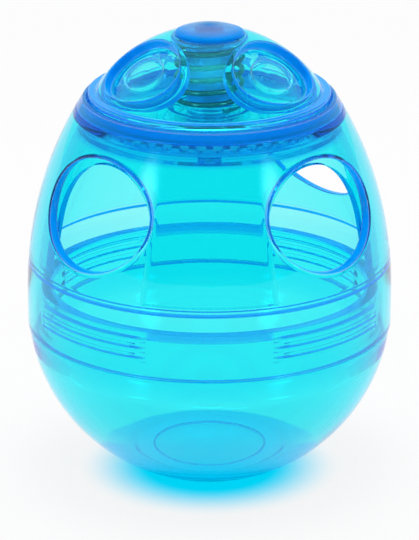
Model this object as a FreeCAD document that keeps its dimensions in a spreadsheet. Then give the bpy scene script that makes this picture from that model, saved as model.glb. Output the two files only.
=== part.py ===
import FreeCAD, Part
import math
import os

import Sketcher
from FreeCAD import Placement, Rotation, Vector

# Cat treat dispenser toy: a see-through egg in two halves, three side holes, and a
# push and turn dome on top that swings a slotted shutter across the holes.
# Millimetres, +Z up, origin at the centre of the flat foot.

sizes = {
    # Egg outline
    "eggRadius": 41.0,
    "waistRise": 3.8,
    "upperBend": 84.0,
    "wall": 2.2,
    # Foot
    "footRadius": 17.238,
    "recessRadius": 12.9,
    "recessDepth": 0.8,
    # Joint between the halves
    "partingDrop": 4.2,
    "partingGap": 0.2,
    "skirtWall": 1.8,
    "neckWall": 2.0,
    "neckRim": 1.8,
    "neckRunDown": 1.5,
    "bowlRunDown": 6.0,
    "lipHeight": 1.8,
    "lipDepth": 0.5,
    "socketClear": 4.6,
    "socketSlope": 1.2,
    # Bayonet ridges
    "ridgeRise": 3.6,
    "ridgePitch": 2.3,
    "ridgeHeight": 0.75,
    "ridgeGap": 0.25,
    "ridgeRoot": 1.4,
    "ridgeCrest": 0.8,
    "ridgeArc": 46.0,
    "catchRoot": 1.2,
    "catchCrest": 0.6,
    "catchArc": 40.0,
    "sink": 0.3,
    # Side holes
    "holeFootMargin": 5.5,
    "holeTopMargin": 5.5,
    "holeHalfWidth": 14.9,
    "holeRound": 0.8,
    # Collar and deck
    "shellLedge": 1.08,
    "bondGap": 0.05,
    "collarWall": 1.2,
    "collarLip": 0.756,
    "collarRound": 0.3,
    "deckDrop": 0.1,
    "deckThick": 1.2,
    "cupGap": 0.575,
    "cupWall": 0.9,
    "cupHeight": 2.0,
    # Index teeth
    "toothHeight": 1.0,
    "toothArc": 3.3,
    "toothWidth": 1.5,
    "toothGap": 0.1,
    "toothInset": 0.2,
    # Dome
    "domeRise": 17.8,
    "domeBend": 30.0,
    "domeWall": 2.0,
    "pressTravel": 2.2,
    "pressGap": 0.3,
    "flangeGap": 0.3,
    "flangeThick": 1.4,
    "flangeShelf": 1.686,
    "crownThick": 0.8,
    # Finger dimples
    "dimpleTurn": 12.3,
    "dimpleTilt": 36.5,
    "dimpleHalfLength": 8.5,
    "dimpleHalfWidth": 11.8,
    "dimpleDepth": 2.2,
    "dimpleFloor": 1.6,
    "dimpleWall": 1.2,
    "dimpleRun": 3.7,
    "dimpleOverrun": 1.0,
    "padHalfLength": 4.5,
    "padHalfWidth": 6.0,
    "padDepth": 0.4,
    # Stem and its key
    "stemRadius": 5.2,
    "slideGap": 0.08,
    "keyWidth": 6.4,
    "keyLength": 2.0,
    "keyGap": 0.1,
    # Cap
    "buttonRadius": 7.65,
    "buttonGap": 0.15,
    "buttonEdge": 0.7,
    "buttonCrown": 1.55,
    "buttonSeat": 0.05,
    "plugGap": 0.1,
    "plugClear": 0.5,
    # Shutter
    "shutterGap": 0.4,
    "shutterWall": 1.6,
    "shutterClear": 3.8,
    "ringThick": 1.2,
    "ringInset": 0.35,
    "ringWidth": 1.4,
    "spokeThick": 1.7,
    "spokeWidth": 5.0,
    "spokeRim": 1.6,
    "hubRadius": 6.5,
    "hubHeight": 5.0,
    "hubDrop": 0.2,
    "windowHalfWidth": 14.2,
    "windowBand": 1.9,
    # Screw
    "headRadius": 2.8,
    "headThick": 2.0,
    "headDepth": 5.2,
    "headGap": 0.4,
    "shankRadius": 1.45,
    "tipClear": 0.8,
    "shankGap": 0.15,
    "threadGap": 0.05,
    "hexAcross": 2.5,
    "hexDepth": 1.2,
    # Spring
    "wireRadius": 0.575,
    "coilClear": 1.375,
    "coilGap": 0.375,
    "closedGap": 0.47,
    "springGap": 0.2,
    "springStart": -20.0,
}

SEGMENTS = 4
RIDGES = 3
HOLES = 3
HOLE_SPAN = 180.0
BLANK_SIDE = 180.0
TEETH = 48
DIMPLES = 3
WINDOWS = 4
CLOSED_QUARTERS = 4
OPEN_QUARTERS = 16
SPRING_SAMPLES = 1200
EDGE_MARGIN = 0.5
NEAR_ZERO = 1e-9


# A number together with the sheet expression that it stands for
class Bound:
    def __init__(self, value, text):
        self.value = float(value)
        self.text = text

    def join(self, other, sign, value):
        return Bound(value, "(" + self.text + sign + asBound(other).text + ")")

    def __add__(self, other):
        return self.join(other, " + ", self.value + asBound(other).value)

    def __sub__(self, other):
        return self.join(other, " - ", self.value - asBound(other).value)

    def __mul__(self, other):
        return self.join(other, " * ", self.value * asBound(other).value)

    def __truediv__(self, other):
        return self.join(other, " / ", self.value / asBound(other).value)

    def __neg__(self):
        return asBound(0) - self


def asBound(value):
    return value if isinstance(value, Bound) else Bound(value, repr(float(value)))


def size(name):
    return Bound(sizes[name], "Sizes." + name)


def square(bound):
    return Bound(bound.value ** 2, "(" + bound.text + " ^ 2)")


def root(bound):
    return Bound(math.sqrt(bound.value), "sqrt(" + bound.text + ")")


def sineOf(bound):
    return Bound(math.sin(math.radians(bound.value)), "sin(" + bound.text + " * 1 deg)")


def cosineOf(bound):
    return Bound(math.cos(math.radians(bound.value)), "cos(" + bound.text + " * 1 deg)")


doc = FreeCAD.newDocument("TreatEgg")
sheet = doc.addObject("Spreadsheet::Sheet", "Sizes")
for row, name in enumerate(sizes, start=1):
    sheet.set("A%d" % row, name)
    sheet.set("B%d" % row, str(sizes[name]))
    sheet.setAlias("B%d" % row, name)
doc.recompute()


def bind(target, path, bound):
    target.setExpression(path, bound.text)


def newBody(name):
    body = doc.addObject("PartDesign::Body", name)
    body.Label = name
    return body


def originPart(body, role):
    return [item for item in body.Origin.OriginFeatures if item.Role == role][0]


def newSketch(body, name, plane):
    sketch = body.newObject("Sketcher::SketchObject", name)
    sketch.AttachmentSupport = (originPart(body, plane), [""])
    sketch.MapMode = "FlatFace"
    return sketch


# A level sketch at a height above the foot, which may be turned about the axis
def levelSketch(body, name, height, turn=0.0):
    sketch = newSketch(body, name, "XY_Plane")
    sketch.AttachmentOffset = Placement(Vector(0, 0, height.value),
                                        Rotation(Vector(0, 0, 1), turn))
    bind(sketch, "AttachmentOffset.Base.z", height)
    return sketch


# Fixes one point of a sketch at a place given by bound numbers
def pinPoint(sketch, geometry, point, place):
    for kind, axis, value in (("DistanceX", -2, place[0]), ("DistanceY", -1, place[1])):
        value = asBound(value)
        if abs(value.value) < NEAR_ZERO:
            sketch.addConstraint(Sketcher.Constraint("PointOnObject", geometry, point, axis))
        else:
            made = sketch.addConstraint(
                Sketcher.Constraint(kind, -1, 1, geometry, point, value.value))
            sketch.setExpression("Constraints[%d]" % made, value.text)


# Centre of a circle through two places; it lies left of the way for side 1
def arcCentre(start, end, radius, side):
    half = (end - start) / 2
    reach = math.sqrt(max(radius ** 2 - half.Length ** 2, 0))
    left = Vector(-half.y, half.x, 0).normalize()
    return (start + end) / 2 + left * reach * side


# A closed outline: each corner is (x, y), or (x, y, radius, side) where an arc leaves it
def drawOutline(sketch, corners):
    places = [Vector(asBound(corner[0]).value, asBound(corner[1]).value, 0)
              for corner in corners]
    made = []
    for index, corner in enumerate(corners):
        start = places[index]
        end = places[(index + 1) % len(corners)]
        if len(corner) == 2:
            edge = sketch.addGeometry(Part.LineSegment(start, end))
            made.append((edge, 1, 2))
            continue
        radius, side = corner[2], corner[3]
        centre = arcCentre(start, end, radius.value, side)
        ends = (start, end) if side > 0 else (end, start)
        angles = [math.atan2(place.y - centre.y, place.x - centre.x) for place in ends]
        circle = Part.Circle(centre, Vector(0, 0, 1), radius.value)
        edge = sketch.addGeometry(Part.ArcOfCircle(circle, angles[0], angles[1]))
        made.append((edge, 1, 2) if side > 0 else (edge, 2, 1))
    for index, (edge, start, end) in enumerate(made):
        following = made[(index + 1) % len(made)]
        sketch.addConstraint(
            Sketcher.Constraint("Coincident", edge, end, following[0], following[1]))
    for index, (edge, start, end) in enumerate(made):
        pinPoint(sketch, edge, start, corners[index])
        if len(corners[index]) == 4:
            radius = corners[index][2]
            number = sketch.addConstraint(Sketcher.Constraint("Radius", edge, radius.value))
            sketch.setExpression("Constraints[%d]" % number, radius.text)


def drawCircle(sketch, radius):
    edge = sketch.addGeometry(Part.Circle(Vector(0, 0, 0), Vector(0, 0, 1), radius.value))
    sketch.addConstraint(Sketcher.Constraint("Coincident", edge, 3, -1, 1))
    number = sketch.addConstraint(Sketcher.Constraint("Radius", edge, radius.value))
    sketch.setExpression("Constraints[%d]" % number, radius.text)


# An ellipse about a centre, with its half sizes along the sketch's x and y
def drawEllipse(sketch, centre, halfAcross, halfAlong):
    wide = halfAcross.value >= halfAlong.value
    longHalf, shortHalf = (halfAcross, halfAlong) if wide else (halfAlong, halfAcross)
    place = Vector(asBound(centre[0]).value, asBound(centre[1]).value, 0)
    longWay = Vector(1, 0, 0) if wide else Vector(0, 1, 0)
    shortWay = Vector(-longWay.y, longWay.x, 0)
    ellipse = sketch.addGeometry(Part.Ellipse(place + longWay * longHalf.value,
                                              place + shortWay * shortHalf.value, place))
    sketch.exposeInternalGeometry(ellipse)
    pinPoint(sketch, ellipse, 3, centre)
    longLine = ellipse + 1
    sketch.addConstraint(Sketcher.Constraint("Horizontal" if wide else "Vertical", longLine))
    for line, half in ((longLine, longHalf), (longLine + 1, shortHalf)):
        number = sketch.addConstraint(Sketcher.Constraint("Distance", line, half.value * 2))
        sketch.setExpression("Constraints[%d]" % number, (half * 2).text)


# Turns closed outlines about the upright axis, all round or over an arc about +X; a full
# turn starts at the seam's angle, which is kept clear of holes
def turned(body, name, outlines, arc=None, seam=0.0):
    sketch = newSketch(body, name + "Outline", "XZ_Plane")
    sketch.AttachmentOffset = Placement(Vector(0, 0, 0), Rotation(Vector(0, 1, 0), seam))
    for corners in outlines:
        drawOutline(sketch, corners)
    feature = body.newObject("PartDesign::Revolution", name)
    feature.Profile = sketch
    feature.ReferenceAxis = (sketch, ["V_Axis"])
    feature.Angle = 360.0
    if arc is not None:
        feature.Midplane = True
        bind(feature, "Angle", arc)
    doc.recompute()
    return feature


def repeated(body, name, feature, count, span=360.0):
    pattern = body.newObject("PartDesign::PolarPattern", name)
    pattern.Originals = [feature]
    pattern.Axis = (originPart(body, "Z_Axis"), [""])
    pattern.Angle = span
    pattern.Occurrences = count
    body.Tip = pattern
    doc.recompute()
    return pattern


def padded(body, name, sketch, length):
    feature = body.newObject("PartDesign::Pad", name)
    feature.Profile = sketch
    bind(feature, "Length", length)
    doc.recompute()
    return feature


# Cuts along the sketch's normal, and stops if nothing was cut away
def pocketed(body, name, sketch, length):
    before = body.Tip.Shape.Volume
    feature = body.newObject("PartDesign::Pocket", name)
    feature.Profile = sketch
    feature.Reversed = True
    bind(feature, "Length", length)
    doc.recompute()
    if feature.Shape.Volume >= before:
        raise RuntimeError("nothing was cut by " + name)
    return feature


# Rounds the edges that a test picks out
def rounded(body, name, radius, chosen):
    base = body.Tip
    edges = ["Edge%d" % number for number, edge in enumerate(base.Shape.Edges, start=1)
             if chosen(edge)]
    fillet = body.newObject("PartDesign::Fillet", name)
    fillet.Base = (base, edges)
    bind(fillet, "Radius", radius)
    body.Tip = fillet
    doc.recompute()
    return fillet


def ball(name, centre, radius):
    sphere = doc.addObject("Part::Sphere", name)
    bind(sphere, "Radius", radius)
    bind(sphere, "Placement.Base.z", centre)
    return sphere


def combined(kind, name, base, tool):
    result = doc.addObject("Part::" + kind, name)
    result.Base = base
    result.Tool = tool
    doc.recompute()
    return result


# The egg's outline: a round bowl on a flat foot, a short straight waist, and a long arc
eggRadius = size("eggRadius")
bowlCentre = root(square(eggRadius) - square(size("footRadius")))
waist = bowlCentre + size("waistRise")
upperBend = size("upperBend")
wall = size("wall")


# Radius of the egg above the waist, at a height, on an arc that lies inside the skin
def upperRadius(height, inset=0):
    return eggRadius - upperBend + root(square(upperBend - inset) - square(height - waist))


# Height at which that arc has a given radius
def upperHeight(radius, inset=0):
    reach = radius - eggRadius + upperBend
    return waist + root(square(upperBend - inset) - square(reach))


# Radius of the round bowl at a height
def bowlRadius(height, inset=0):
    return root(square(eggRadius - inset) - square(height - bowlCentre))


# Widths from the dome outward: its ball, flange, the collar and the top of the egg
domeBend = size("domeBend")
flangeRise = size("pressTravel") + size("pressGap") + size("flangeThick")
domeFoot = root(square(domeBend) - square(domeBend - size("domeRise") + flangeRise))
flangeRadius = domeFoot + size("flangeShelf")
collarBore = flangeRadius + size("flangeGap")
spigotRadius = collarBore + size("collarWall")
rebate = spigotRadius + size("bondGap")
shellTop = upperHeight(rebate + size("shellLedge"))

# Widths from the stem outward: the spring round it and what holds the spring
stemRadius = size("stemRadius")
coilRadius = stemRadius + size("coilClear") + size("wireRadius")
springBore = coilRadius + size("wireRadius") + size("coilGap")
cupBore = coilRadius + size("wireRadius") + size("cupGap")

# Heights of the joint between the halves, and of the side holes above it
parting = bowlCentre - size("partingDrop")
neckTop = (parting + size("ridgeRise") + size("ridgePitch") * (RIDGES - 1)
           + size("neckRim"))
socketRadius = eggRadius - size("skirtWall")
neckRadius = socketRadius - size("ridgeGap") - size("ridgeHeight")
socketTop = neckTop + size("socketClear")
slopeTop = socketTop + size("socketSlope")
holeFoot = slopeTop + size("holeFootMargin")
holeTop = shellTop - size("holeTopMargin")

# Heights below and above the deck
deckTop = shellTop - size("deckDrop")
deckBottom = deckTop - size("deckThick")
ringTop = deckBottom - size("toothHeight") - size("toothGap")
hubTop = ringTop - size("hubDrop")
hubBottom = hubTop - size("hubHeight")
domeTop = deckTop + size("domeRise")
domeCentre = domeTop - domeBend
flangeTop = deckTop + flangeRise
flangeBottom = flangeTop - size("flangeThick")
crownBottom = domeTop - size("domeWall")
crownTop = crownBottom + size("crownThick")
headSeat = crownTop - size("headDepth")
headTop = headSeat + size("headThick")
headHole = size("headRadius") + size("headGap")


# Radius of the dome's ball at a height, and the height at a radius
def domeRadius(height, inset=0):
    return root(square(domeBend - inset) - square(height - domeCentre))


def domeHeight(radius, inset=0):
    return domeCentre + root(square(domeBend - inset) - square(radius))


# Ridges with sloping flanks, one above the other, from a bed inside the wall
def ridgeOutlines(bed, tip, first, count, rootHeight, crestHeight):
    outlines = []
    for index in range(count):
        middle = first + size("ridgePitch") * index
        outlines.append([(bed, middle - rootHeight / 2), (tip, middle - crestHeight / 2),
                         (tip, middle + crestHeight / 2), (bed, middle + rootHeight / 2)])
    return outlines


# The upright section of one index tooth
def toothOutline(bottom, top, inner, outer):
    return [(inner, bottom), (outer, bottom), (outer, top), (inner, top)]


def makeLowerShell():
    body = newBody("lower_shell")
    recess = size("recessDepth")
    floor = recess + wall
    neckInner = neckRadius - size("neckWall")
    lipInner = neckInner - size("lipDepth")
    lipBottom = neckTop - size("lipHeight")
    shoulder = parting - size("bowlRunDown")
    bowl = [
        (0, recess),
        (size("recessRadius"), recess),
        (size("recessRadius"), 0),
        (bowlRadius(asBound(0)), 0, eggRadius, 1),
        (bowlRadius(parting), parting),
        (neckRadius, parting),
        (neckRadius, neckTop),
        (lipInner, neckTop),
        (lipInner, lipBottom),
        (neckInner, lipBottom - size("lipDepth")),
        (neckInner, parting - size("neckRunDown")),
        (bowlRadius(shoulder, wall), shoulder, eggRadius - wall, -1),
        (bowlRadius(floor, wall), floor),
        (0, floor),
    ]
    turned(body, "bowl", [bowl])
    ridges = ridgeOutlines(neckRadius - size("sink"), neckRadius + size("ridgeHeight"),
                           parting + size("ridgeRise"), RIDGES,
                           size("ridgeRoot"), size("ridgeCrest"))
    ridge = turned(body, "ridge", ridges, size("ridgeArc"))
    repeated(body, "ridgeSegments", ridge, SEGMENTS)
    return body


def makeUpperShell():
    body = newBody("upper_shell")
    skirt = parting + size("partingGap")
    egg = [
        (socketRadius, skirt),
        (eggRadius, skirt),
        (eggRadius, waist, upperBend, 1),
        (upperRadius(shellTop), shellTop),
        (rebate, shellTop),
        (rebate, upperHeight(rebate, wall), upperBend - wall, -1),
        (upperRadius(slopeTop, wall), slopeTop),
        (socketRadius, socketTop),
    ]
    turned(body, "egg", [egg], seam=BLANK_SIDE)
    firstCatch = parting + size("ridgeRise") + size("ridgePitch") / 2
    catches = ridgeOutlines(socketRadius + size("sink"),
                            socketRadius - size("ridgeHeight"), firstCatch, RIDGES - 1,
                            size("catchRoot"), size("catchCrest"))
    catch = turned(body, "catch", catches, size("catchArc"))
    repeated(body, "catchSegments", catch, SEGMENTS)
    sketch = newSketch(body, "holeOutline", "XZ_Plane")
    drawEllipse(sketch, (0, (holeFoot + holeTop) / 2), size("holeHalfWidth"),
                (holeTop - holeFoot) / 2)
    hole = pocketed(body, "hole", sketch, eggRadius)
    repeated(body, "holes", hole, HOLES, HOLE_SPAN)

    def onHole(edge):
        box = edge.BoundBox
        inside = (box.ZMin > holeFoot.value - EDGE_MARGIN
                  and box.ZMax < holeTop.value + EDGE_MARGIN)
        return inside and box.ZLength > EDGE_MARGIN

    rounded(body, "holeRounds", size("holeRound"), onHole)
    return body


def makeCollarRing():
    body = newBody("collar_ring")
    rim = shellTop + size("bondGap")
    collarTop = upperHeight(collarBore + size("collarLip"))
    cup = cupBore + size("cupWall")
    cupTop = deckTop + size("cupHeight")
    bore = stemRadius + size("slideGap")
    deck = [
        (bore, deckBottom),
        (spigotRadius, deckBottom),
        (spigotRadius, rim),
        (upperRadius(rim), rim, upperBend, 1),
        (collarBore + size("collarLip"), collarTop),
        (collarBore, collarTop),
        (collarBore, deckTop),
        (cup, deckTop),
        (cup, cupTop),
        (cupBore, cupTop),
        (cupBore, deckTop),
        (bore, deckTop),
    ]
    turned(body, "deck", [deck])

    def onRim(edge):
        return edge.BoundBox.ZMin > collarTop.value - EDGE_MARGIN

    rounded(body, "collarRounds", size("collarRound"), onRim)
    outer = spigotRadius - size("toothInset")
    block = toothOutline(deckBottom - size("toothHeight"), deckBottom + size("sink"),
                         outer - size("toothWidth"), outer)
    tooth = turned(body, "tooth", [block], size("toothArc"))
    repeated(body, "teeth", tooth, TEETH)
    # The collar's teeth stand in the gaps between the shutter's teeth
    body.Placement = Placement(Vector(0, 0, 0), Rotation(Vector(0, 0, 1), 180.0 / TEETH))
    return body


# Upright oval posts on the dome's ball, one for each dimple
def makeDimpleTools(name, start, length, halfLength, halfWidth):
    body = newBody(name)
    tilt = size("dimpleTilt")
    sketch = newSketch(body, name + "Outline", "XY_Plane")
    across = start * sineOf(tilt)
    up = domeCentre + start * cosineOf(tilt)
    sketch.AttachmentOffset = Placement(Vector(across.value, 0, up.value),
                                        Rotation(Vector(0, 1, 0), tilt.value))
    bind(sketch, "AttachmentOffset.Base.x", across)
    bind(sketch, "AttachmentOffset.Base.z", up)
    bind(sketch, "AttachmentOffset.Rotation.Angle", tilt)
    drawEllipse(sketch, (0, 0), halfLength, halfWidth)
    post = padded(body, name + "Post", sketch, length)
    repeated(body, name + "Posts", post, DIMPLES)
    body.Placement = Placement(Vector(0, 0, 0), Rotation(Vector(0, 0, 1), sizes["dimpleTurn"]))
    bind(body, "Placement.Rotation.Angle", size("dimpleTurn"))
    doc.recompute()
    return body


def makeDomeCore():
    body = newBody("dome_core")
    crownRim = size("buttonRadius") + size("buttonGap")
    shankHole = size("shankRadius") + size("shankGap")
    inset = size("domeWall")
    core = [
        (shankHole, hubTop),
        (stemRadius, hubTop),
        (stemRadius, crownBottom),
        (springBore, crownBottom),
        (springBore, domeHeight(springBore, inset), domeBend - inset, -1),
        (domeRadius(flangeBottom, inset), flangeBottom),
        (flangeRadius, flangeBottom),
        (flangeRadius, flangeTop),
        (domeFoot, flangeTop, domeBend, 1),
        (crownRim, domeHeight(crownRim)),
        (crownRim, crownTop),
        (headHole, crownTop),
        (headHole, headSeat),
        (shankHole, headSeat),
    ]
    turned(body, "core", [core])
    keyBottom = hubTop - size("keyLength")
    sketch = levelSketch(body, "keyOutline", keyBottom)
    half = size("keyWidth") / 2
    drawOutline(sketch, [(-half, -half), (half, -half), (half, half), (-half, half)])
    drawCircle(sketch, shankHole)
    padded(body, "key", sketch, size("keyLength"))
    return body


def makeDome():
    core = makeDomeCore()
    backing = size("dimpleDepth") + size("dimpleFloor")
    layer = newBody("backing_layer")
    overlap = size("domeWall") - size("sink")
    turned(layer, "layer", [[
        (springBore, domeHeight(springBore, backing), domeBend - backing, -1),
        (domeRadius(flangeBottom, backing), flangeBottom),
        (domeRadius(flangeBottom, overlap), flangeBottom, domeBend - overlap, 1),
        (springBore, domeHeight(springBore, overlap)),
    ]])
    reach = backing + size("dimpleRun") + size("dimpleOverrun")
    start = domeBend - backing - size("dimpleRun")
    side = size("dimpleWall")
    cups = makeDimpleTools("dimpleCups", start, reach, size("dimpleHalfLength") + side,
                           size("dimpleHalfWidth") + side)
    pits = makeDimpleTools("dimplePits", start, reach, size("dimpleHalfLength"),
                           size("dimpleHalfWidth"))
    pads = makeDimpleTools("dimplePads", start, reach, size("padHalfLength"),
                           size("padHalfWidth"))
    depth = size("dimpleDepth")
    floorBall = ball("dimpleFloorBall", domeCentre, domeBend - depth)
    padBall = ball("dimplePadBall", domeCentre, domeBend - depth - size("padDepth"))
    doc.recompute()
    backs = combined("Common", "dimpleBacks", layer, cups)
    backed = combined("Fuse", "backedDome", core, backs)
    pitCut = combined("Cut", "pitCutter", pits, floorBall)
    padCut = combined("Cut", "padCutter", pads, padBall)
    pitted = combined("Cut", "pittedDome", backed, pitCut)
    dome = combined("Cut", "adjuster_dome", pitted, padCut)
    dome.Label = "adjuster_dome"
    return dome


def makeButton():
    body = newBody("dome_button")
    seat = crownTop + size("buttonSeat")
    edge = seat + size("buttonEdge")
    radius = size("buttonRadius")
    crown = size("buttonCrown")
    crownBend = (square(radius) + square(crown)) / (crown * 2)
    plug = headHole - size("plugGap")
    plugBottom = headTop + size("plugClear")
    cap = [
        (0, plugBottom),
        (plug, plugBottom),
        (plug, seat),
        (radius, seat),
        (radius, edge, crownBend, 1),
        (0, edge + crown),
    ]
    turned(body, "cap", [cap])
    return body


def makeShutter():
    body = newBody("shutter")
    gap = wall + size("shutterGap")
    inset = gap + size("shutterWall")
    ringOuter = rebate - size("ringInset")
    ringInner = ringOuter - size("ringWidth")
    plateTop = ringTop - size("ringThick")
    plateBottom = plateTop - size("spokeThick")
    hub = size("hubRadius")
    bore = size("shankRadius") + size("threadGap")
    bottom = neckTop + size("pressTravel") + size("shutterClear")
    crown = [
        (bore, hubBottom),
        (hub, hubBottom),
        (hub, plateBottom),
        (upperRadius(plateBottom, inset), plateBottom, upperBend - inset, -1),
        (upperRadius(bottom, inset), bottom),
        (upperRadius(bottom, gap), bottom, upperBend - gap, 1),
        (upperRadius(plateTop, gap), plateTop),
        (ringOuter, plateTop),
        (ringOuter, ringTop),
        (ringInner, ringTop),
        (ringInner, plateTop),
        (hub, plateTop),
        (hub, hubTop),
        (bore, hubTop),
    ]
    turned(body, "crown", [crown])
    block = toothOutline(ringTop - size("sink"), ringTop + size("toothHeight"),
                         ringInner, ringOuter)
    tooth = turned(body, "tooth", [block], size("toothArc"))
    repeated(body, "teeth", tooth, TEETH)
    socket = levelSketch(body, "socketOutline", hubTop - size("keyLength") - size("keyGap"))
    half = size("keyWidth") / 2 + size("keyGap")
    drawOutline(socket, [(-half, -half), (half, -half), (half, half), (-half, half)])
    pocketed(body, "socket", socket, size("keyLength") + size("keyGap"))
    window = newSketch(body, "windowOutline", "XZ_Plane")
    half = size("windowHalfWidth")
    archTop = plateBottom - size("windowBand")
    archFoot = archTop - half
    below = bottom - size("shutterClear")
    drawOutline(window, [(-half, below), (half, below), (half, archFoot, half, 1),
                         (0, archTop, half, 1), (-half, archFoot)])
    opening = pocketed(body, "window", window, eggRadius)
    repeated(body, "windows", opening, WINDOWS)
    spokes = levelSketch(body, "spokeGapOutline", plateBottom, -45.0)
    side = size("spokeWidth") / 2
    far = ringInner - size("spokeRim")
    near = hub + size("spokeRim")
    farReach = root(square(far) - square(side))
    nearReach = root(square(near) - square(side))
    drawOutline(spokes, [(nearReach, side), (farReach, side, far, 1),
                         (side, farReach), (side, nearReach, near, -1)])
    spokeGap = pocketed(body, "spokeGap", spokes, size("spokeThick"))
    repeated(body, "spokeGaps", spokeGap, WINDOWS)
    return body


def makeScrew():
    body = newBody("retaining_screw")
    head = size("headRadius")
    shank = size("shankRadius")
    tip = hubBottom + size("tipClear")
    screw = [(0, tip), (shank, tip), (shank, headSeat), (head, headSeat), (head, headTop),
             (0, headTop)]
    turned(body, "screw", [screw])
    sketch = levelSketch(body, "hexOutline", headTop - size("hexDepth"))
    corner = size("hexAcross") / 2 / cosineOf(asBound(30))
    drawOutline(sketch, [(corner * cosineOf(asBound(60 * index)),
                          corner * sineOf(asBound(60 * index))) for index in range(6)])
    pocketed(body, "hexSocket", sketch, size("hexDepth"))
    return body


# Two arcs that leave one place and reach another, each along its own way
def biarc(start, startWay, end, endWay):
    chord = end - start
    along = chord.dot(startWay + endWay)
    spread = 2 * (1 - startWay.dot(endWay))
    reach = (math.sqrt(along ** 2 + spread * chord.dot(chord)) - along) / spread
    joint = (start + end + (startWay - endWay) * reach) / 2
    return [tangentArc(start, startWay, joint), tangentArc(end, endWay * -1, joint)]


def tangentArc(start, way, end):
    chord = end - start
    normal = (chord - way * chord.dot(way)).normalize()
    radius = chord.dot(chord) / (2 * chord.dot(normal))
    centre = start + normal * radius
    outward = ((start + end) / 2 - centre).normalize()
    return Part.Arc(start, centre + outward * radius, end).toShape()


# Places and ways at each quarter turn, close wound at both ends and open between
def springStations():
    bottom = (deckTop + size("springGap") + size("wireRadius")).value
    top = (crownBottom - size("springGap") - size("wireRadius")).value
    closed = (size("wireRadius") * 2 + size("closedGap")).value / 4
    opened = (top - bottom - 2 * CLOSED_QUARTERS * closed) / OPEN_QUARTERS
    steps = [closed] * CLOSED_QUARTERS + [opened] * OPEN_QUARTERS + [closed] * CLOSED_QUARTERS
    slopes = [closed] + [(one + two) / 2 for one, two in zip(steps, steps[1:])] + [closed]
    radius = coilRadius.value
    quarter = math.pi / 2
    height = bottom
    stations = []
    for index, slope in enumerate(slopes):
        angle = math.radians(sizes["springStart"]) + quarter * index
        ahead = Vector(-math.sin(angle), math.cos(angle), 0) * radius * quarter
        place = Vector(radius * math.cos(angle), radius * math.sin(angle), height)
        stations.append((place, (ahead + Vector(0, 0, slope)).normalize()))
        if index < len(steps):
            height += steps[index]
    return stations


def makeSpring():
    stations = springStations()
    edges = []
    for (start, startWay), (end, endWay) in zip(stations, stations[1:]):
        edges += biarc(start, startWay, end, endWay)
    path = Part.Wire(edges)
    wire = sizes["wireRadius"]
    section = Part.Wire(Part.makeCircle(wire, stations[0][0], stations[0][1]))
    pipe = Part.BRepOffsetAPI.MakePipeShell(path)
    pipe.add(section)
    pipe.build()
    pipe.makeSolid()
    turns = (len(stations) - 1) / 4
    points = path.discretize(Number=SPRING_SAMPLES)
    apart = int(SPRING_SAMPLES / turns / 2)
    least = min(points[one].distanceToPoint(points[two])
                for one in range(SPRING_SAMPLES)
                for two in range(one + apart, min(one + 3 * apart, SPRING_SAMPLES)))
    print("spring turns", turns, "least gap", round(least - 2 * wire, 3))
    swept = math.pi * wire ** 2 * path.Length
    print("spring volume over section times length", round(pipe.shape().Volume / swept, 4))
    spring = doc.addObject("Part::Feature", "return_spring")
    spring.Label = "return_spring"
    spring.Shape = pipe.shape()
    return spring


pieces = [makeLowerShell(), makeUpperShell(), makeCollarRing(), makeDome(), makeButton(),
          makeSpring(), makeShutter(), makeScrew()]
doc.recompute()

for item in doc.Objects:
    if "Invalid" in item.State or "Error" in item.State:
        raise RuntimeError("failed object: " + item.Name)
for piece in pieces:
    if piece.Shape.isNull() or not piece.Shape.isValid() or len(piece.Shape.Solids) != 1:
        raise RuntimeError("bad shape: " + piece.Label)

os.makedirs("parts", exist_ok=True)
for piece in pieces:
    piece.Shape.exportStep("parts/" + piece.Label + ".step")
    box = piece.Shape.BoundBox
    print(piece.Label, "volume", round(piece.Shape.Volume, 1), "across", round(box.XLength, 2),
          "from", round(box.ZMin, 2), "to", round(box.ZMax, 2))
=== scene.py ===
import math

import bmesh
import bpy
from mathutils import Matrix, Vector


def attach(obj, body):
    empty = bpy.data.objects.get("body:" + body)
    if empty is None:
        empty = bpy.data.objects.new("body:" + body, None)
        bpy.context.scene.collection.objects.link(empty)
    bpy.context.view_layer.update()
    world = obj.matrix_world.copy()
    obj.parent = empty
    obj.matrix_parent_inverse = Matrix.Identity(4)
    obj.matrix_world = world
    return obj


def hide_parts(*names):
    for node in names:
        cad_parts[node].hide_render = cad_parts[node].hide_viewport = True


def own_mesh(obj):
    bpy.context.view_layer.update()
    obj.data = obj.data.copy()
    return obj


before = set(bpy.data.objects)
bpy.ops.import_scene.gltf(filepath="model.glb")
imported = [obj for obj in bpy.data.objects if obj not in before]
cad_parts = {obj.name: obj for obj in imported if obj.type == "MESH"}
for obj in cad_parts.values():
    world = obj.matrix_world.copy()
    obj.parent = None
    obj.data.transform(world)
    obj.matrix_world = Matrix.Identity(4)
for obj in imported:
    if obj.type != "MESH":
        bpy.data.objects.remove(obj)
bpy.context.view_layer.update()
scene = bpy.context.scene
print("stage: frame loaded")

# Lengths here are millimetres and angles are degrees; meshes are made in metres.
# +Z is up, and the origin is the centre of the foot.
metre = 0.001                # metres in a millimetre
toCubicCentimetres = 1e6     # from cubic metres
weldGap = 0.000002           # metres
hair = 0.001                 # too short to see
sharpAngle = 38              # an edge that turns by more isn't shaded smooth
softSteps = 5                # steps round a softened corner
openingEase = 0.45           # how small the first step away from an opening is
halfQuarter = 45             # half of a quarter turn


# Helpers


def addObject(name, data):
    thing = bpy.data.objects.new(name, data)
    scene.collection.objects.link(thing)
    return thing


def onRing(radius, angle, height):
    turn = math.radians(angle)
    return (radius * math.cos(turn), radius * math.sin(turn), height)


def between(one, two, share):
    return tuple(a + (b - a) * share for a, b in zip(one, two))


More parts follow.
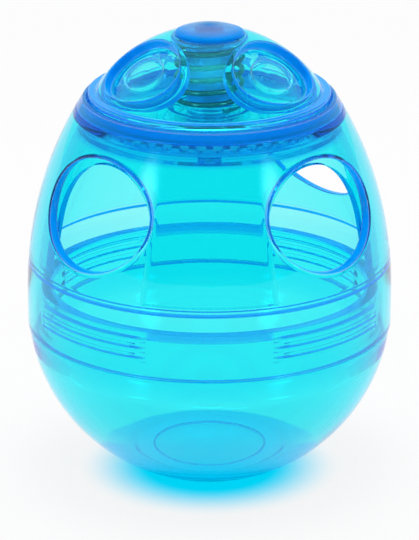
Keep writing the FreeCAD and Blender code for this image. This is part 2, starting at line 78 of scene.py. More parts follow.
def spaced(start, end, count):
    return [start + (end - start) * index / count for index in range(count + 1)]


# Shares of a way, with small steps near 0 and larger ones further on
def eased(shares, start):
    return [share * (start + (1 - start) * share) for share in shares]


# A rounded corner, from one place to another, as a curve that leans on the corner
def cornerCurve(start, corner, end, steps=softSteps):
    curve = []
    for share in spaced(0, 1, steps):
        curve.append(between(between(start, corner, share), between(corner, end, share), share))
    return curve


# What is left of a line of points once its first stretch is taken off
def cutStart(points, stretch):
    for index in range(len(points) - 1):
        step = math.dist(points[index], points[index + 1])
        if step > stretch:
            return [between(points[index], points[index + 1], stretch / step)] + points[index + 1:]
        stretch -= step
    return points[-1:]


# Joins sides end to end; each side is (points, soft), and soft rounds the corner at its end. A
# side with one place, and no list, runs straight there from the end of the side before it
def softLine(sides):
    whole = []
    for points, soft in sides:
        if isinstance(points, tuple):
            points = [whole[-1][0][-1], points]
        whole.append((points, soft))
    trimmed = []
    before = 0
    for points, soft in whole:
        shorter = cutStart(points, before) if before else list(points)
        if soft:
            shorter = cutStart(shorter[::-1], soft)[::-1]
        trimmed.append(shorter)
        before = soft
    line = []
    for index, points in enumerate(trimmed):
        line += points
        side, soft = whole[index]
        if soft and index < len(trimmed) - 1:
            line += cornerCurve(points[-1], side[-1], trimmed[index + 1][0])[1:-1]
    return [point for index, point in enumerate(line)
            if index == 0 or math.dist(point, line[index - 1]) > hair]


class Skin:
    def __init__(self):
        self.places = []
        self.faces = []

    # Adds rows of places with the same number in each row, joined by faces
    def addRows(self, rows, closed=False):
        first = len(self.places)
        width = len(rows[0])
        for row in rows:
            self.places.extend(row)
        for rowIndex in range(len(rows) - 1):
            lower = first + rowIndex * width
            for column in range(width if closed else width - 1):
                beside = (column + 1) % width
                self.faces.append((lower + column, lower + beside,
                                   lower + width + beside, lower + width + column))

    # Turns a line of (radius, height) about the axis; shape may change either with the angle
    def turn(self, line, columns, shape=None, firstAngle=0.0):
        rows = []
        for radius, height in line:
            row = []
            for column in range(columns):
                angle = firstAngle + 360 * column / columns
                place = shape(radius, height, angle) if shape else (radius, height)
                row.append(onRing(place[0], angle, place[1]))
            rows.append(row)
        self.addRows(rows, closed=True)

    def makePiece(self, name, body, nodes, material):
        mesh = bpy.data.meshes.new(name)
        places = [tuple(number * metre for number in place) for place in self.places]
        mesh.from_pydata(places, [], self.faces)
        work = bmesh.new()
        work.from_mesh(mesh)
        bmesh.ops.remove_doubles(work, verts=work.verts, dist=weldGap)
        bmesh.ops.dissolve_degenerate(work, dist=weldGap, edges=work.edges)
        bmesh.ops.recalc_face_normals(work, faces=work.faces)
        openEdges = sum(1 for edge in work.edges if len(edge.link_faces) != 2)
        volume = work.calc_volume(signed=True)
        if volume < 0:
            bmesh.ops.reverse_faces(work, faces=work.faces)
        work.to_mesh(mesh)
        work.free()
        mesh.shade_smooth()
        mesh.set_sharp_from_angle(angle=math.radians(sharpAngle))
        piece = addObject(name, mesh)
        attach(piece, body)
        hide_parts(*nodes)
        piece.data.materials.append(material)
        print("stage: %s made, %d faces, %d open edges, %.2f cm3"
              % (name, len(mesh.polygons), openEdges, abs(volume) * toCubicCentimetres))
        return piece


# Fills the wall round an opening: two faces and the rounded lip between them. rim(face, out)
# gives the opening's edge moved outward, border(face) the outer edge, both in the wall's own
# two numbers, and place(face, numbers) turns those into a place
def addOpening(skin, border, rim, place, soft, rings=12, closed=True):
    faceRows = []
    for face in (0, 1):
        inner = rim(face, soft[face])
        outer = border(face)
        rows = []
        for share in eased(spaced(0, 1, rings), openingEase):
            rows.append([place(face, between(a, b, share)) for a, b in zip(inner, outer)])
        faceRows.append(rows)
    corners = [[place(face, numbers) for numbers in rim(face, 0)] for face in (0, 1)]
    outLip, inLip = [], []
    for index in range(len(corners[0])):
        across = Vector(corners[1][index]) - Vector(corners[0][index])
        way = across.normalized()
        outEnd = tuple(Vector(corners[0][index]) + way * soft[0])
        inEnd = tuple(Vector(corners[1][index]) - way * soft[1])
        outLip.append(cornerCurve(faceRows[0][0][index], corners[0][index], outEnd))
        inLip.append(cornerCurve(inEnd, corners[1][index], faceRows[1][0][index]))
    lipRows = [list(row) for row in zip(*outLip)] + [list(row) for row in zip(*inLip)]
    rows = faceRows[0][::-1] + lipRows[1:-1] + faceRows[1]
    skin.addRows(rows, closed)
    if not closed:
        half = len(rows) // 2
        for end in (0, -1):
            edge = [row[end] for row in rows]
            skin.addRows([edge[:half], edge[::-1][:half]])


# Finishes


# The shading nodes of a material, the world or a lamp. What a node is given is a number, a
# colour, a vector or the output of another node
class Paint:
    def __init__(self, owner):
        owner.use_nodes = True
        self.nodes = owner.node_tree.nodes
        self.links = owner.node_tree.links

    def feed(self, node, values):
        for name, value in values.items():
            socket = node.inputs[name]
            if isinstance(value, bpy.types.NodeSocket):
                self.links.new(value, socket)
            elif socket.type == "RGBA":
                socket.default_value = (*value, 1)
            else:
                socket.default_value = value

    def add(self, kind, values, **choices):
        node = self.nodes.new("ShaderNode" + kind)
        for name, choice in choices.items():
            setattr(node, name, choice)
        self.feed(node, values)
        return node

    def math(self, operation, *values):
        step = self.add("Math", dict(enumerate(values)), operation=operation)
        return step.outputs["Value"]

    def vector(self, operation, *values):
        step = self.add("VectorMath", dict(enumerate(values)), operation=operation)
        isNumber = operation in ("DOT_PRODUCT", "DISTANCE", "LENGTH")
        return step.outputs["Value" if isNumber else "Vector"]

    def place(self, kind="Object"):
        return self.add("TexCoord", {}).outputs[kind]

    # Three numbers of a vector, by their names
    def parts(self, vector):
        return self.add("SeparateXYZ", {"Vector": vector}).outputs

    # Turns one span of numbers into another
    def spread(self, source, before, after=(0, 1), easing="LINEAR"):
        values = {"Value": source, "From Min": before[0], "From Max": before[1],
                  "To Min": after[0], "To Max": after[1]}
        return self.add("MapRange", values, interpolation_type=easing).outputs["Result"]

    def mix(self, share, low, high, kind="RGBA"):
        values = {"Factor": share, "A": low, "B": high}
        return self.add("Mix", values, data_type=kind).outputs["Result"]

    # The lowest or highest of some numbers
    def pick(self, operation, first, *others):
        for other in others:
            first = self.math(operation, first, other)
        return first

    # 1 for some kinds of ray and 0 for the rest
    def rays(self, *kinds):
        path = self.add("LightPath", {})
        return self.pick("MAXIMUM", *[path.outputs[kind] for kind in kinds])

    def noise(self, size, detail, roughness=0.5, stretch=(1, 1, 1)):
        mapping = self.add("Mapping", {"Vector": self.place(), "Scale": stretch})
        noise = self.add("TexNoise", {"Vector": mapping.outputs["Vector"], "Scale": size,
                                      "Detail": detail, "Roughness": roughness})
        return noise.outputs["Fac"]

    def bump(self, source, depth, strength, before=None):
        values = {"Height": source, "Distance": depth, "Strength": strength}
        if before:
            values["Normal"] = before
        return self.add("Bump", values).outputs["Normal"]


# High where the skin turns away from a centre on the axis, as in a wall's edges
def edgeMask(paint, centre, span):
    away = paint.vector("SUBTRACT", paint.place(), (0, 0, centre * metre))
    way = paint.vector("NORMALIZE", away)
    facing = paint.vector("DOT_PRODUCT", way, paint.place("Normal"))
    return paint.spread(paint.math("ABSOLUTE", facing), span, (1, 0))


# Grows with the distance from the axis, or shrinks when the span runs inward
def rimMask(paint, span, low=0):
    level = paint.vector("MULTIPLY", paint.place(), (1, 1, 0))
    away = paint.vector("LENGTH", level)
    return paint.spread(away, [end * metre for end in span], (low, 1))


# Grows with the height, or shrinks when the span runs down
def heightMask(paint, span, low=0):
    height = paint.parts(paint.place())["Z"]
    return paint.spread(height, [end * metre for end in span], (low, 1))


# High in the gaps between the ridges of the neck, which lie between X and Y
def gapMask(paint, span, high):
    level = paint.vector("MULTIPLY", paint.place(), (1, 1, 0))
    way = paint.parts(paint.vector("NORMALIZE", level))
    turn = paint.math("MULTIPLY", way["X"], way["Y"])
    return paint.spread(paint.math("ABSOLUTE", turn), span, (0, high))


noiseSpan = (0.3, 0.7)       # most of a noise lies between these

# A piece's own plastic may differ in any of these
clearPlastic = {
    "loss": (784, 35, 8),    # red, green and blue that a metre of it takes away
    "refraction": 1.5,
    "flowSize": 55,          # waves a metre in the moulded skin
    "flowDetail": 2.0,
    "flowStretch": (1, 1, 0.6),
    "flowDepth": 0.00012,    # metres, as every depth of a bump
    "flowStrength": 0.5,
    "scuffSize": 900,
    "scuffDetail": 5.0,
    "scuffRoughness": 0.6,
    "scuffDepth": 0.00001,
    "scuffStrength": 0.05,
    "polish": (0.0, 0.035),
    "thin": (1.0, 1.0, 0.95),    # what a thin wall does to the colour
    "sheen": (0.4, 0.95, 1.0),   # colour of the reflections
    "paintedGlowColour": (0.0, 0.3, 1.0),     # colour of a painted blue glow, stronger in the painted shade
    # strength of the painted glow everywhere on the skin
    "paintedGlowStrength": 0.015,
}


# Clear tinted plastic: soft flow waves and fine scuffs on the skin, and colour from its depth.
# It has a faint painted blue glow everywhere. Some places get painted shade: a deep blue, less
# clear and with a stronger painted glow; each such place is where all of its masks are high
def makePlastic(name, part):
    skin = {**clearPlastic, **part}
    material = bpy.data.materials.new(name)
    paint = Paint(material)
    flow = paint.noise(skin["flowSize"], skin["flowDetail"], stretch=skin["flowStretch"])
    scuff = paint.noise(skin["scuffSize"], skin["scuffDetail"], skin["scuffRoughness"])
    waves = paint.bump(flow, skin["flowDepth"], skin["flowStrength"])
    # Painted shade, from 0 to 1: high where all masks of any one place are high
    places = [paint.pick("MINIMUM", *[mask(paint, *values) for mask, *values in masks])
              for masks in skin["paintedShadePlaces"]]
    paintedShade = paint.pick("MAXIMUM", *places)
    paint.feed(paint.nodes["Principled BSDF"], {
        "Base Color": paint.mix(paintedShade, skin["thin"], skin["paintedShadeBlue"]),
        "Roughness": paint.spread(scuff, noiseSpan, skin["polish"]),
        "IOR": skin["refraction"],
        "Normal": paint.bump(scuff, skin["scuffDepth"], skin["scuffStrength"], waves),
        "Specular Tint": skin["sheen"],
        "Transmission Weight": paint.spread(paintedShade, (0, 1), (1, skin["paintedShadeClearness"])),
        "Emission Color": skin["paintedGlowColour"],
        "Emission Strength": paint.spread(paintedShade, (0, 1), (skin["paintedGlowStrength"], skin["paintedShadeGlow"])),
    })
    material.cycles.emission_sampling = "NONE"
    density = max(skin["loss"])
    absorb = paint.add("VolumeAbsorption", {
        "Color": [1 - level / density for level in skin["loss"]],
        "Density": density,
    })
    paint.feed(paint.nodes["Material Output"], {"Volume": absorb.outputs["Volume"]})
    return material


plainSteel = {
    "drawnSize": 1500,       # fine lines a metre, drawn out along the stretch
    "drawnDetail": 3.0,
    "drawnRoughness": 0.6,
    "drawnDepth": 0.00002,
    "drawnStrength": 0.3,
    "patchSize": 220,
    "patchDetail": 2.0,
    "patchShade": 0.82,      # colour of the darker patches, as a share of the steel's own
}


# Steel with fine drawn lines, and with patches that differ in shade and polish
def makeSteel(name, part):
    skin = plainSteel
    material = bpy.data.materials.new(name)
    paint = Paint(material)
    drawn = paint.noise(skin["drawnSize"], skin["drawnDetail"], skin["drawnRoughness"],
                        part["stretch"])
    patch = paint.noise(skin["patchSize"], skin["patchDetail"])
    dark = [level * skin["patchShade"] for level in part["colour"]]
    paint.feed(paint.nodes["Principled BSDF"], {
        "Base Color": paint.mix(patch, dark, part["colour"]),
        "Metallic": 1.0,
        "Roughness": paint.spread(patch, noiseSpan, part["roughness"]),
        "Normal": paint.bump(drawn, skin["drawnDepth"], skin["drawnStrength"]),
    })
    return material


# Shared form of the egg

egg = {
    "radius": 41.0,
    "waist": 41.0,
    "bend": 84.0,            # radius of the upper side's long curve
    "bowlCentre": 37.2,
    "wall": 2.2,
    "columns": 240,
}


def upperRadius(height, inset=0):
    if height < egg["waist"]:
        return egg["radius"] - inset
    rise = height - egg["waist"]
    return egg["radius"] - egg["bend"] + math.sqrt((egg["bend"] - inset) ** 2 - rise ** 2)


def upperHeight(radius, inset=0):
    reach = radius - egg["radius"] + egg["bend"]
    return egg["waist"] + math.sqrt((egg["bend"] - inset) ** 2 - reach ** 2)


def bowlRadius(height, inset=0):
    return math.sqrt((egg["radius"] - inset) ** 2 - (height - egg["bowlCentre"]) ** 2)


def upperSide(start, end, inset=0, step=1.0):
    count = max(2, round(abs(end - start) / step))
    return [(upperRadius(height, inset), height) for height in spaced(start, end, count)]


def bowlSide(start, end, inset=0, count=48):
    return [(bowlRadius(height, inset), height) for height in spaced(start, end, count)]


# How far an angle is from the nearest of some equal places round the axis
def offCentre(angle, places):
    pitch = 360 / places
    return abs((angle + pitch / 2) % pitch - pitch / 2)


def quarterAngles(centre, count):
    return spaced(centre - halfQuarter, centre + halfQuarter, count)


# Once round a patch, from its values in one way and in the other
def roundPatch(across, up):
    loop = [(place, up[0]) for place in across[:-1]]
    loop += [(across[-1], level) for level in up[:-1]]
    loop += [(place, up[-1]) for place in across[:0:-1]]
    return loop + [(across[0], level) for level in up[:0:-1]]


# 1 inside a width about each centre, falling to 0 over a ramp
def within(distance, halfWidth, ramp):
    return min(1.0, max(0.0, (halfWidth - distance) / ramp + 0.5))


ridges = {
    "segments": 4,
    "pitch": 2.3,
    "first": 36.6,
    "height": 0.75,
    "ramp": 1.5,
    "male": {"count": 3, "root": 0.7, "crest": 0.4, "halfArc": 23.0, "lift": 0.0},
    "female": {"count": 2, "root": 0.6, "crest": 0.3, "halfArc": 20.0, "lift": 1.15},
}


def ridgeMiddles(kind):
    return [ridges["first"] + kind["lift"] + ridges["pitch"] * index
            for index in range(kind["count"])]


def ridgeHeights(kind):
    heights = []
    for middle in ridgeMiddles(kind):
        heights += [middle - kind["root"], middle - kind["crest"],
                    middle + kind["crest"], middle + kind["root"]]
    return heights


def ridgeRise(kind, height, angle):
    here = 0.0
    for middle in ridgeMiddles(kind):
        away = abs(height - middle)
        here = max(here, min(1.0, (kind["root"] - away) / (kind["root"] - kind["crest"])))
    window = within(offCentre(angle, ridges["segments"]), kind["halfArc"], ridges["ramp"])
    return ridges["height"] * here * window


# Lower half of the egg

lowerShell = {
    "parting": 33.0,
    "recess": (12.9, 0.8),
    "floor": 3.0,
    "neck": 38.2,
    "neckTop": 43.0,
    "neckInner": 36.2,
    "lip": (35.7, 41.2),
    "lipFall": 0.5,
    "runDown": 31.5,
    "shoulder": 27.0,
    "plastic": {
        "paintedShadeBlue": (0.05, 0.58, 1.0),
        "paintedShadeClearness": 0.55,
        "paintedShadeGlow": 0.18,
        # painted shade: deep blue on the wall's edges and steps, and in the gaps at the top of the
        # neck
        "paintedShadePlaces": [
            [(edgeMask, egg["bowlCentre"], (0.5, 0.8))],
            [(gapMask, (0.365, 0.38), 0.7), (heightMask, (41.1, 41.3)),
             (heightMask, (43.2, 43.0))],    # painted shade in the gaps at the top of the neck
        ],
    },
}


def makeLowerShell():
    part = lowerShell
    recessRadius, recessTop = part["recess"]
    wall = egg["wall"]
    neck = part["neck"]
    floorRadius = bowlRadius(part["floor"], wall)
    lipRadius, lipBottom = part["lip"]
    neckHeights = [part["parting"]] + ridgeHeights(ridges["male"]) + [part["neckTop"]]
    sides = [
        ([(radius, recessTop) for radius in spaced(0, recessRadius, 8)], 0.35),
        ((recessRadius, 0), 0.3),
        ((bowlRadius(0), 0), 0.7),
        (bowlSide(0, part["parting"]), 0.22),
        ((neck, part["parting"]), 0.2),
        ([(neck, height) for height in neckHeights], 0.3),
        ((lipRadius, part["neckTop"]), 0.3),
        ((lipRadius, lipBottom), 0.2),
        ((part["neckInner"], lipBottom - part["lipFall"]), 0.2),
        ((part["neckInner"], part["runDown"]), 1.0),
        ((bowlRadius(part["shoulder"], wall), part["shoulder"]), 1.0),
        (bowlSide(part["shoulder"], part["floor"], wall), 1.2),
        ([(radius, part["floor"]) for radius in spaced(floorRadius, 0, 10)], 0),
    ]

    def shape(radius, height, angle):
        if radius > neck - hair:
            radius += ridgeRise(ridges["male"], height, angle)
        return radius, height

    skin = Skin()
    skin.turn(softLine(sides), egg["columns"], shape)
    skin.makePiece("lowerShell", "base", ["lower_shell"],
                   makePlastic("clearBlueLower", part["plastic"]))


# Upper half of the egg, with its side holes

upperShell = {
    "bottom": 33.2,
    "top": 83.2,
    "socket": 39.2,
    "socketTop": 47.6,
    "slopeTop": 48.8,
    "ledge": 38.85,          # radius of the narrow band between the two ledges
    "ledgeFall": 0.1,
    "rebate": 28.55,
    "patch": ((51.0, 81.0), (51.0, 80.0)),   # stretch of the wall that holds the holes
    "patchRows": 30,
    "holeAngles": (-90, 0, 90),
    "blankAngle": 180,
    "hole": (14.9, 11.7, 66.0),
    "lip": (1.0, 0.6),
    "plastic": {
        "paintedShadeBlue": (0.0, 0.4, 1.0),
        "paintedShadeClearness": 0.3,
        "paintedShadeGlow": 0.25,
        # painted shade: deep blue on the lips of the holes and other edges, and a band on the
        # inner wall's step
        "paintedShadePlaces": [
            [(edgeMask, 62.0, (0.45, 0.75))],
            [(rimMask, (40.0, 39.6)), (heightMask, (47.35, 47.5)),
             (heightMask, (48.3, 48.1))],    # a painted dark band on the step of the inner wall
        ],
    },
}


def makeUpperShell():
    part = upperShell
    wall = egg["wall"]
    insets = (0, wall)
    (outLow, outHigh), (inLow, inHigh) = part["patch"]
    rebate = part["rebate"]
    socket = part["socket"]
    boreFoot = upperHeight(rebate, wall)
    top = part["top"]
    skin = Skin()
    skin.turn(softLine([
        (upperSide(outHigh, top, 0, 0.5), 0.3),
        ((rebate, top), 0.15),
        ((rebate, boreFoot), 0.15),
        (upperSide(boreFoot, inHigh, wall, 0.2), 0),
    ]), egg["columns"])
    socketHeights = [part["socketTop"]] + ridgeHeights(ridges["female"])[::-1] + [part["bottom"]]

    def shape(radius, height, angle):
        if abs(radius - socket) < hair:
            radius -= ridgeRise(ridges["female"], height, angle)
        return radius, height

    skin.turn(softLine([
        (upperSide(inLow, part["slopeTop"], wall, 0.5), 0.12),
        ((part["ledge"], part["slopeTop"] - part["ledgeFall"]), 0.12),
        ((part["ledge"], part["socketTop"] + part["ledgeFall"]), 0.12),
        ((socket, part["socketTop"]), 0.12),
        ([(socket, height) for height in socketHeights], 0.2),
        ((egg["radius"], part["bottom"]), 0.22),
        ([(egg["radius"], height) for height in spaced(part["bottom"], egg["waist"], 6)]
         + upperSide(egg["waist"], outLow)[1:], 0),
    ]), egg["columns"], shape)

    def place(face, numbers):
        return onRing(upperRadius(numbers[1], insets[face]), *numbers)

    quarter = egg["columns"] // 4
    for face, (low, high) in enumerate(part["patch"]):
        heights = spaced(low, high, part["patchRows"])
        angles = quarterAngles(part["blankAngle"], quarter)
        skin.addRows([[place(face, (angle, height)) for angle in angles] for height in heights])
    halfWidth, halfHeight, middle = part["hole"]
    for centre in part["holeAngles"]:

        def border(face):
            heights = spaced(*part["patch"][face], part["patchRows"])
            return roundPatch(quarterAngles(centre, quarter), heights)

        def rim(face, out):
            edge = []
            for angle, height in border(0):
                across = math.radians(angle - centre) * upperRadius(middle)
                lean = math.atan2((height - middle) / halfHeight, across / halfWidth)
                side = (halfWidth + out) * math.cos(lean)
                level = middle + (halfHeight + out) * math.sin(lean)
                radius = upperRadius(level, insets[face])
                edge.append((centre + math.degrees(math.asin(side / radius)), level))
            return edge

        addOpening(skin, border, rim, place, part["lip"])
    skin.makePiece("upperShell", "casing", ["upper_shell"],
                   makePlastic("clearBlueShell", part["plastic"]))


# Collar with the deck, the spring's cup and the teeth that hang from it

teeth = {
    "count": 48,
    "columns": 480,
    "height": 1.0,
    "halfArc": 1.5,
    "ramp": 0.75,
}


def toothRise(angle, turn):
    return teeth["height"] * within(offCentre(angle + turn, teeth["count"]),
                                    teeth["halfArc"], teeth["ramp"])


collarRing = {
    "bore": 5.28,
    "deck": (81.9, 83.1),
    "spigot": 28.5,
    "teeth": (26.8, 28.3),
    "flange": (83.25, 85.8),
    "flangeBore": 27.3,
    "cup": (8.3, 9.2, 85.1),
    "halfPitch": 3.75,
    "plastic": {
        "loss": (1500, 60, 8),
        "paintedShadeBlue": (0.0, 0.34, 0.95),
        "paintedShadeClearness": 0.55,
        "paintedShadeGlow": 0.08,
        "paintedShadePlaces": [
            [(rimMask, (26.6, 26.8)), (heightMask, (85.6, 85.2)),
             (heightMask, (82.8, 83.1), 0.5)],   # painted shade on the flange, and less of it on the spigot under it
        ],
    },
}


def makeCollarRing():
    part = collarRing
    deckLow, deckHigh = part["deck"]
    flangeLow, flangeHigh = part["flange"]
    toothIn, toothOut = part["teeth"]
    toothFoot = deckLow - hair   # tells the rows of the teeth from those of the deck
    cupIn, cupOut, cupTop = part["cup"]
    bore, flangeBore = part["bore"], part["flangeBore"]
    sides = [
        ([(radius, deckLow) for radius in spaced(bore, toothIn, 12)], 0),
        ((toothIn, toothFoot), 0),
        ((toothOut, toothFoot), 0),
        ((toothOut, deckLow), 0),
        ((part["spigot"], deckLow), 0.1),
        ((part["spigot"], flangeLow), 0.1),
        ((upperRadius(flangeLow), flangeLow), 0.2),
        (upperSide(flangeLow, flangeHigh, 0, 0.4), 0.35),
        ((flangeBore, flangeHigh), 0.25),
        ((flangeBore, deckHigh), 0.4),
        ([(radius, deckHigh) for radius in spaced(flangeBore, cupOut, 10)], 0.3),
        ((cupOut, cupTop), 0.25),
        ((cupIn, cupTop), 0.25),
        ((cupIn, deckHigh), 0.2),
        ((bore, deckHigh), 0.15),
        ((bore, deckLow), 0),
    ]

    def shape(radius, height, angle):
        if abs(height - toothFoot) < hair / 2:
            return radius, toothFoot - toothRise(angle, part["halfPitch"])
        return radius, height

    skin = Skin()
    skin.turn(softLine(sides), teeth["columns"], shape)
    skin.makePiece("collarRing", "casing", ["collar_ring"],
                   makePlastic("clearBlueCollar", part["plastic"]))


# Dome with finger dimples, and the stem inside it

dome = {
    "centre": 70.9,
    "bend": 30.0,
    "wall": 2.0,
    "columns": 192,
    "sideRows": 26,
    "wallRings": 10,
    "wallEase": 0.5,
    "turn": 12.3,
    "tilt": 36.5,
    "dimples": 3,
    "outerEnds": (8.4, 87.6),        # radius at the top and height at the bottom
    "innerEnds": (8.1, 85.75),
    "dimple": (8.5, 11.8),
    "depth": 2.2,
    "lip": 0.7,
    "floorRound": 0.9,
    "pad": (4.5, 6.0, 0.4, 0.35),    # half sizes, depth and round of the oval in the floor
    "padCurve": ((1, 0), (0.4, 0.15), (0, 0.5), (-0.4, 0.85), (-1, 1)),  # shares of those two
    "backDepth": 3.8,
    "backRim": (9.1, 9.8, 13.0),     # toward the top, toward the rim, and sideways
    "backFloor": (8.9, 8.6, 12.5),
    "backSoft": (0.15, 0.35),
    "flange": (27.0, 85.6, 87.0),
    "flangeStep": 0.1,
    "crown": (7.8, 99.7, 98.9),
    "headHole": (3.2, 94.5),
    "shankHole": 1.6,
    "stem": (5.2, 80.6),
    "key": (3.2, 78.6),
    "plastic": {
        "loss": (650, 18, 5),
        "paintedShadeBlue": (0.0, 0.4, 1.0),
        "paintedShadeClearness": 0.45,
        "paintedShadeGlow": 0.15,
        "paintedShadePlaces": [
            [(edgeMask, 70.9, (0.6, 0.88)), (rimMask, (8.5, 9.5), 0.6)],     # painted shade on the dimples' walls and other edges, less at the stem
        ],
    },
}


def ballRadius(height, inset=0):
    return math.sqrt((dome["bend"] - inset) ** 2 - (height - dome["centre"]) ** 2)


def ballHeight(radius, inset=0):
    return dome["centre"] + math.sqrt((dome["bend"] - inset) ** 2 - radius ** 2)


def squareReach(half, angle):
    turn = math.radians(angle)
    return half / max(abs(math.cos(turn)), abs(math.sin(turn)))


class DimpleFrame:
    def __init__(self, centre):
        tilt = math.radians(dome["tilt"])
        turn = math.radians(centre)
        self.out = Vector((math.sin(tilt) * math.cos(turn), math.sin(tilt) * math.sin(turn),
                           math.cos(tilt)))
        self.down = Vector((math.cos(tilt) * math.cos(turn), math.cos(tilt) * math.sin(turn),
                            -math.sin(tilt)))
        self.side = Vector((-math.sin(turn), math.cos(turn), 0))
        self.middle = Vector((0, 0, dome["centre"]))

    # A place on a ball, so far down the slope and so far to the side of the dimple's middle
    def place(self, down, side, bend):
        height = math.sqrt(bend * bend - down * down - side * side)
        return tuple(self.middle + self.out * height + self.down * down + self.side * side)

    def read(self, place):
        away = Vector(place) - self.middle
        return away.dot(self.down), away.dot(self.side)


# An oval whose half length may differ up and down the slope
def ovalPoint(lean, upHalf, downHalf, sideHalf):
    down = math.sin(lean) * (downHalf if math.sin(lean) > 0 else upHalf)
    return down, math.cos(lean) * sideHalf


def addDomeFace(skin, inset, ends, ovals):
    part = dome
    bend = part["bend"] - inset
    topAngle = math.degrees(math.asin(ends[0] / bend))
    lowAngle = math.degrees(math.acos((ends[1] - part["centre"]) / bend))
    third = part["columns"] // part["dimples"]
    halfThird = 180 / part["dimples"]
    for index in range(part["dimples"]):
        centre = part["turn"] + 360 * index / part["dimples"]
        turned = DimpleFrame(centre)
        angles = spaced(centre - halfThird, centre + halfThird, third)
        slopes = spaced(topAngle, lowAngle, part["sideRows"])

        def onBall(angle, slope):
            tilt = math.radians(slope)
            return onRing(bend * math.sin(tilt), angle, part["centre"] + bend * math.cos(tilt))

        loop = [onBall(angle, slope) for angle, slope in roundPatch(angles, slopes)]
        upHalf, downHalf, sideHalf = ovals[0][0]
        leans = []
        for place in loop:
            down, side = turned.read(place)
            leans.append(math.atan2(down / (downHalf if down > 0 else upHalf), side / sideHalf))
        rows = []
        for halves, ballBend in ovals:
            row = []
            for lean in leans:
                down, side = ovalPoint(lean, *halves)
                row.append(turned.place(down, side, ballBend))
            rows.append(row)
        rings = []
        for share in eased(spaced(1, 0, part["wallRings"]), part["wallEase"]):
            ring = []
            for inner, outer in zip(rows[0], loop):
                way = Vector(between(inner, outer, share))
                way = (way - turned.middle).normalized() * bend + turned.middle
                ring.append(tuple(way))
            rings.append(ring)
        skin.addRows(rings[:-1] + rows, closed=True)


# Rounded steps of an oval recess, as (half sizes, ball) pairs from the lip to the middle
def dimpleOvals():
    part = dome
    length, width = part["dimple"]
    top = part["bend"]
    floor = top - part["depth"]
    lip, foot = part["lip"], part["floorRound"]
    ovals = []

    def add(out, ballBend):
        ovals.append(((length + out, length + out, width + out), ballBend))

    for out, drop in cornerCurve((lip, 0.0), (0.0, 0.0), (0.0, lip)):
        add(out, top - drop)
    for out, rise in cornerCurve((0.0, foot), (0.0, 0.0), (-foot, 0.0)):
        add(out, floor + rise)
    padLength, padWidth, padDepth, padRound = part["pad"]
    for share in (0.35, 0.7):
        out = -foot + (padLength + padRound - length + foot) * share
        wide = width - foot + (padWidth + padRound - width + foot) * share
        ovals.append(((length + out, length + out, wide), floor))
    for outShare, dropShare in part["padCurve"]:
        out = padRound * outShare
        ovals.append(((padLength + out, padLength + out, padWidth + out),
                      floor - padDepth * dropShare))
    for share in (0.75, 0.5, 0.25, 0.0):
        ovals.append(((padLength * share, padLength * share, padWidth * share),
                      floor - padDepth))
    return ovals


def backOvals():
    part = dome
    inner = part["bend"] - part["wall"]
    floor = part["bend"] - part["backDepth"]
    rim, base = part["backRim"], part["backFloor"]
    rimSoft, baseSoft = part["backSoft"]
    ovals = [(tuple(half + rimSoft for half in rim), inner)]
    for share in (0.12, 0.5, 0.88):
        ovals.append((between(rim, base, share), inner + (floor - inner) * share))
    for share in (1, 0.8, 0.6, 0.4, 0.2, 0):
        ovals.append((tuple((half - baseSoft) * share for half in base), floor))
    return ovals


def makeDome():
    part = dome
    skin = Skin()
    addDomeFace(skin, 0, part["outerEnds"], dimpleOvals())
    inner = Skin()
    addDomeFace(inner, part["wall"], part["innerEnds"], backOvals())
    bore, rimLow = part["innerEnds"]
    places = []
    for x, y, z in inner.places:    # the backs of the dimples stop at the spring's bore
        radius = math.hypot(x, y)
        if radius < bore:
            x, y = x * bore / radius, y * bore / radius
        places.append((x, y, max(z, rimLow)))
    first = len(skin.places)
    skin.places += places
    skin.faces += [tuple(first + corner for corner in face) for face in inner.faces]
    crownRadius, crownTop, crownBottom = part["crown"]
    topRadius, lowHeight = part["outerEnds"]
    headRadius, headSeat = part["headHole"]
    shank = part["shankHole"]
    stem, stemEnd = part["stem"]
    keyHalf, keyEnd = part["key"]
    flangeRadius, flangeLow, flangeHigh = part["flange"]
    topSide = [(radius, ballHeight(radius)) for radius in (topRadius, bore, crownRadius)]
    line = softLine([
        (topSide, 0.12),
        ((crownRadius, crownTop), 0),
        ((headRadius, crownTop), 0.2),
        ((headRadius, headSeat), 0.15),
        ((shank, headSeat), 0.1),
        ((shank, keyEnd), 0.1),
        ((keyHalf, keyEnd), 0),
        ((keyHalf, stemEnd), 0),
        ((stem, stemEnd), 0.15),
        ([(stem, height) for height in spaced(stemEnd, crownBottom, 12)], 0.5),
        ((bore, crownBottom), 0.3),
        ((bore, ballHeight(bore, part["wall"])), 0),
    ])

    def shape(radius, height, angle):
        onKey = abs(radius - keyHalf) < hair and height < stemEnd + hair
        return (squareReach(keyHalf, angle) if onKey else radius), height

    skin.turn(line, part["columns"], shape, part["turn"])
    innerEdge = ballRadius(rimLow, part["wall"])
    skin.turn(softLine([
        ([(innerEdge, rimLow), (innerEdge + part["flangeStep"], flangeLow)], 0),
        ((flangeRadius, flangeLow), 0.3),
        ((flangeRadius, flangeHigh), 0.4),
        ((ballRadius(flangeHigh), flangeHigh), 0.3),
        ([(ballRadius(height), height) for height in spaced(flangeHigh, lowHeight, 3)], 0),
    ]), part["columns"], None, part["turn"])
    skin.makePiece("adjusterDome", "adjuster", ["adjuster_dome"],
                   makePlastic("clearBlueDome", part["plastic"]))


# Cap on top of the dome

button = {
    "radius": 7.65,
    "seat": 99.75,
    "edge": 100.45,
    "crown": 1.55,
    "plug": (3.1, 97.0),
    "columns": 128,
    "plastic": {
        "loss": (784, 60, 8),
        "refraction": 1.2,
        "paintedShadeBlue": (0.0, 0.4, 0.95),
        "paintedShadeClearness": 0.45,
        "paintedShadeGlow": 0.06,
        # painted shade: deep blue growing from the middle of the cap toward its rim
        "paintedShadePlaces": [[(rimMask, (0.5, 7.0))]],
    },
}


